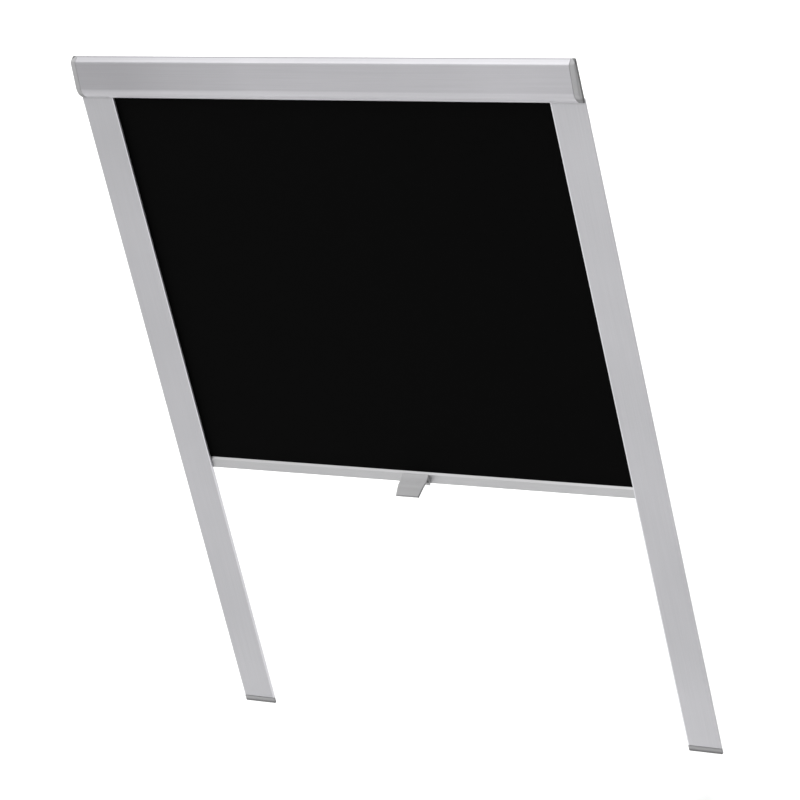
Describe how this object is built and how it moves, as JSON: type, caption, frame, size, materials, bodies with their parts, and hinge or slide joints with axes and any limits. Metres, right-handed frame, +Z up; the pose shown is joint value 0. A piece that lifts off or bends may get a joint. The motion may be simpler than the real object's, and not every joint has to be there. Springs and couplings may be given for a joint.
{
  "type": "roller blind",
  "caption": "Blackout roller blind for a roof window: spring roller in a slim cassette, two side rails that guide black fabric, and a bottom bar with a pull handle.",
  "frame": {"origin": "middle of the flat back of the front cover, which lies on the face of the window sash", "axes": "+X to the right seen from the room, -Y towards the room, +Z up along the side rails"},
  "size_m": [0.612, 0.0487, 0.8025],
  "materials": {
    "cover": "satin anodised, drawn along its length",
    "rail": "satin anodised, drawn along its length",
    "bar": "satin anodised",
    "mill_aluminium": "mill finish",
    "cap_plastic": "moulded, silver grey, fine texture",
    "handle_plastic": "moulded, silver grey",
    "dark_plastic": "moulded, black",
    "steel": "zinc plated",
    "fabric": "black blackout cloth, fine weave"
  },
  "bodies": {
    "frame": {"front_cover": "cover", "head_rail": "mill_aluminium", "spring_shaft": "steel", "torsion_spring": "steel", "blackout_fabric": "fabric", "cover_cap_left": "cap_plastic", "end_support_left": "dark_plastic", "mounting_bracket_left": "steel", "bracket_screw_left_1": "steel", "bracket_screw_left_2": "steel", "side_rail_left": "rail", "rail_cap_left": "cap_plastic", "rail_screw_left_1": "steel", "rail_screw_left_2": "steel", "rail_screw_left_3": "steel", "cover_cap_right": "cap_plastic", "end_support_right": "dark_plastic", "mounting_bracket_right": "steel", "bracket_screw_right_1": "steel", "bracket_screw_right_2": "steel", "side_rail_right": "rail", "rail_cap_right": "cap_plastic", "rail_screw_right_1": "steel", "rail_screw_right_2": "steel", "rail_screw_right_3": "steel"},
    "roller": {"roller_tube": "mill_aluminium", "fabric_roll": "fabric", "tube_plug_left": "dark_plastic", "tube_plug_right": "dark_plastic", "spring_collar": "dark_plastic", "idler_pin": "steel"},
    "bar": {"bottom_bar": "bar", "fabric_keeper": "dark_plastic", "handle": "handle_plastic", "bar_glide_left": "dark_plastic", "bar_glide_right": "dark_plastic", "brake_spring_left": "steel", "brake_spring_right": "steel"}
  },
  "joints": [
    {"name": "bar_slide", "type": "slide", "parent": "frame", "child": "bar", "axis": [0, 0, 1], "range_m": [-0.28, 0.43], "deforming": ["blackout_fabric"]},
    {"name": "roller_spin", "type": "hinge", "parent": "frame", "child": "roller", "pos_m": [0, 0.01205, -0.0195], "axis": [1, 0, 0], "range_deg": [-2775, 1810]}
  ],
  "couplings": [
    {"joint": "roller_spin", "follows": "bar_slide", "rad_per_m": -112.36}
  ]
}
